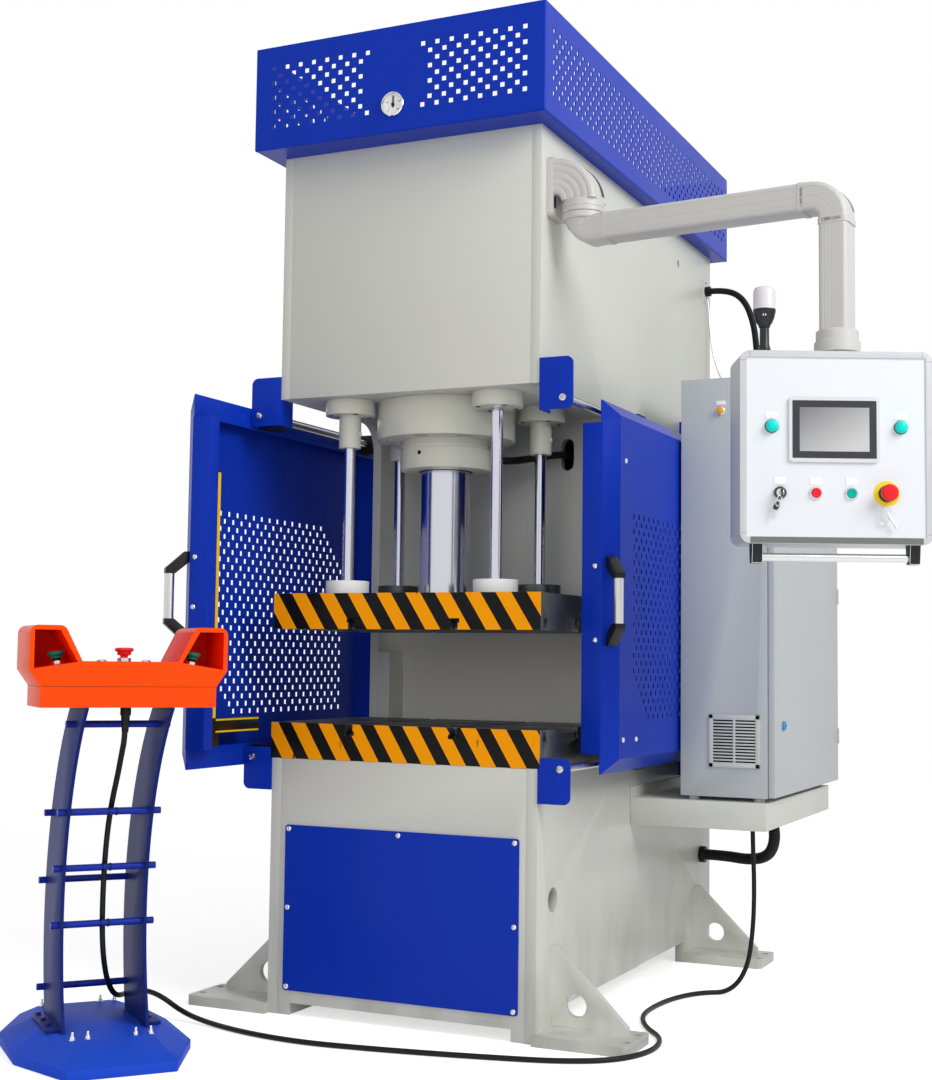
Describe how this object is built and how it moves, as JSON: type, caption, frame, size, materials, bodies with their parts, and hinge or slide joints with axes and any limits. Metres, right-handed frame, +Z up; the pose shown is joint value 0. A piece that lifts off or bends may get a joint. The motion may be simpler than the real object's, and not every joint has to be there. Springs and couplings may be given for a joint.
{
  "type": "hydraulic press",
  "caption": "C-frame hydraulic press with a guided ram, T-slotted bolster, sliding perforated guards, control cabinet, swinging operator panel and a two-hand console on its own stand.",
  "frame": {"origin": "on the floor, in the middle of the four outer anchor holes", "axes": "+X to the operator's right, +Y to the rear, +Z up"},
  "size_m": [2.132, 2.3291, 2.496],
  "materials": {
    "frame_paint": "satin",
    "guard_blue": "satin",
    "cabinet_paint": "satin",
    "machined_steel": "ground",
    "hard_chrome": "polished",
    "bush_steel": "turned",
    "hazard_yellow": "satin",
    "gauge_steel": "satin",
    "needle_black": "matt",
    "motor_paint": "satin",
    "valve_steel": "machined",
    "gear_plastic": "matt",
    "arm_aluminium": "satin",
    "panel_metal": "satin",
    "panel_white": "satin",
    "screen_glass": "gloss",
    "lamp_white": "gloss",
    "signal_green": "gloss",
    "signal_red": "gloss",
    "key_metal": "satin",
    "handle_metal": "satin",
    "curtain_black": "matt",
    "console_orange": "gloss",
    "lock_blue": "matt",
    "cable_rubber": "matt",
    "gland_plastic": "matt"
  },
  "bodies": {
    "press": {"side_plate_left": "frame_paint", "side_plate_right": "frame_paint", "head_box": "frame_paint", "column_walls": "frame_paint", "base_box": "frame_paint", "access_panel": "frame_paint", "top_guard_front": "guard_blue", "top_guard_rear": "guard_blue", "top_guard_left": "guard_blue", "top_guard_right": "guard_blue", "gauge_case": "gauge_steel", "pump_motor": "motor_paint", "valve_block": "valve_steel", "cylinder_barrel": "frame_paint", "cylinder_gland": "machined_steel", "guide_bushes": "bush_steel", "guard_rails": "guard_blue", "bolster": "machined_steel", "bolster_stripes": "hazard_yellow", "cabinet_shelf": "frame_paint", "cabinet_body": "cabinet_paint", "vent_grille": "cabinet_paint", "control_gear": "gear_plastic", "arm_wall_mount": "frame_paint", "two_hand_cable": "cable_rubber", "head_conduit": "cable_rubber", "base_conduit": "cable_rubber", "throat_hose": "cable_rubber", "cable_glands": "gland_plastic", "stand_base": "guard_blue", "stand_legs": "guard_blue", "console_body": "console_orange", "indicator_lamps": "lamp_white"},
    "pointer": {"gauge_needle": "needle_black"},
    "ram": {"piston_rod": "hard_chrome", "ram_plate": "machined_steel", "guide_rods": "hard_chrome", "ram_stripes": "hazard_yellow"},
    "left_guard": {"left_guard_door": "guard_blue", "left_guard_handle": "handle_metal", "light_curtain_left": "curtain_black"},
    "right_guard": {"right_guard_door": "guard_blue", "right_guard_handle": "handle_metal", "light_curtain_right": "curtain_black"},
    "cabinet_leaf": {"cabinet_door": "cabinet_paint"},
    "lock": {"cabinet_lock": "lock_blue"},
    "arm": {"arm_boom": "arm_aluminium"},
    "panel": {"control_panel_case": "panel_metal", "control_panel_front": "panel_white", "hmi_screen": "screen_glass", "panel_handle": "panel_metal", "signal_beacon": "lamp_white", "panel_lamps": "signal_green"},
    "start": {"start_button": "signal_green"},
    "stop": {"stop_button": "signal_red"},
    "key": {"key_switch": "key_metal"},
    "panel_stop": {"panel_estop": "signal_red"},
    "palm_left": {"palm_button_left": "signal_green"},
    "palm_right": {"palm_button_right": "signal_green"},
    "console_stop": {"console_estop": "signal_red"}
  },
  "joints": [
    {"name": "ram_slide", "type": "slide", "parent": "press", "child": "ram", "axis": [0, 0, 1], "range_m": [-0.2, 0.3]},
    {"name": "left_guard_slide", "type": "slide", "parent": "press", "child": "left_guard", "axis": [0, 1, 0], "range_m": [0, 0.44]},
    {"name": "right_guard_slide", "type": "slide", "parent": "press", "child": "right_guard", "axis": [0, 1, 0], "range_m": [-0.44, 0]},
    {"name": "cabinet_door_hinge", "type": "hinge", "parent": "press", "child": "cabinet_leaf", "pos_m": [0.768, 0.838, 1.1], "axis": [0, 0, 1], "range_deg": [0, 120]},
    {"name": "lock_turn", "type": "hinge", "parent": "cabinet_leaf", "child": "lock", "pos_m": [0.77, 0.131, 0.734], "axis": [1, 0, 0], "range_deg": [0, 90]},
    {"name": "arm_swivel", "type": "hinge", "parent": "press", "child": "arm", "pos_m": [0.448, -0.585, 2], "axis": [0, 0, 1], "range_deg": [-60, 25]},
    {"name": "panel_swivel", "type": "hinge", "parent": "arm", "child": "panel", "pos_m": [1.08484, -0.64856, 1.6], "axis": [0, 0, 1], "range_deg": [-45, 45]},
    {"name": "gauge_pointer", "type": "hinge", "parent": "press", "child": "pointer", "pos_m": [0, -0.7515, 2.292], "axis": [0, 1, 0], "range_deg": [0, 270], "stiffness_Nm_per_rad": 0.002},
    {"name": "start_press", "type": "slide", "parent": "panel", "child": "start", "axis": [-0.4226, 0.9063, 0], "range_m": [0, 0.004], "stiffness_N_per_m": 500},
    {"name": "stop_press", "type": "slide", "parent": "panel", "child": "stop", "axis": [-0.4226, 0.9063, 0], "range_m": [0, 0.004], "stiffness_N_per_m": 500},
    {"name": "panel_stop_press", "type": "slide", "parent": "panel", "child": "panel_stop", "axis": [-0.4226, 0.9063, 0], "range_m": [0, 0.006], "stiffness_N_per_m": 800},
    {"name": "key_turn", "type": "hinge", "parent": "panel", "child": "key", "pos_m": [0.98234, -0.76477, 1.2785], "axis": [-0.4226, 0.9063, 0], "range_deg": [0, 90]},
    {"name": "palm_left_press", "type": "slide", "parent": "press", "child": "palm_left", "axis": [0.1006, 0.1198, -0.9877], "range_m": [0, 0.005], "stiffness_N_per_m": 800, "springref_m": -0.002},
    {"name": "palm_right_press", "type": "slide", "parent": "press", "child": "palm_right", "axis": [-0.1006, -0.1198, -0.9877], "range_m": [0, 0.005], "stiffness_N_per_m": 800, "springref_m": -0.002},
    {"name": "console_stop_press", "type": "slide", "parent": "press", "child": "console_stop", "axis": [0, 0, -1], "range_m": [0, 0.005], "stiffness_N_per_m": 800, "springref_m": -0.002}
  ]
}
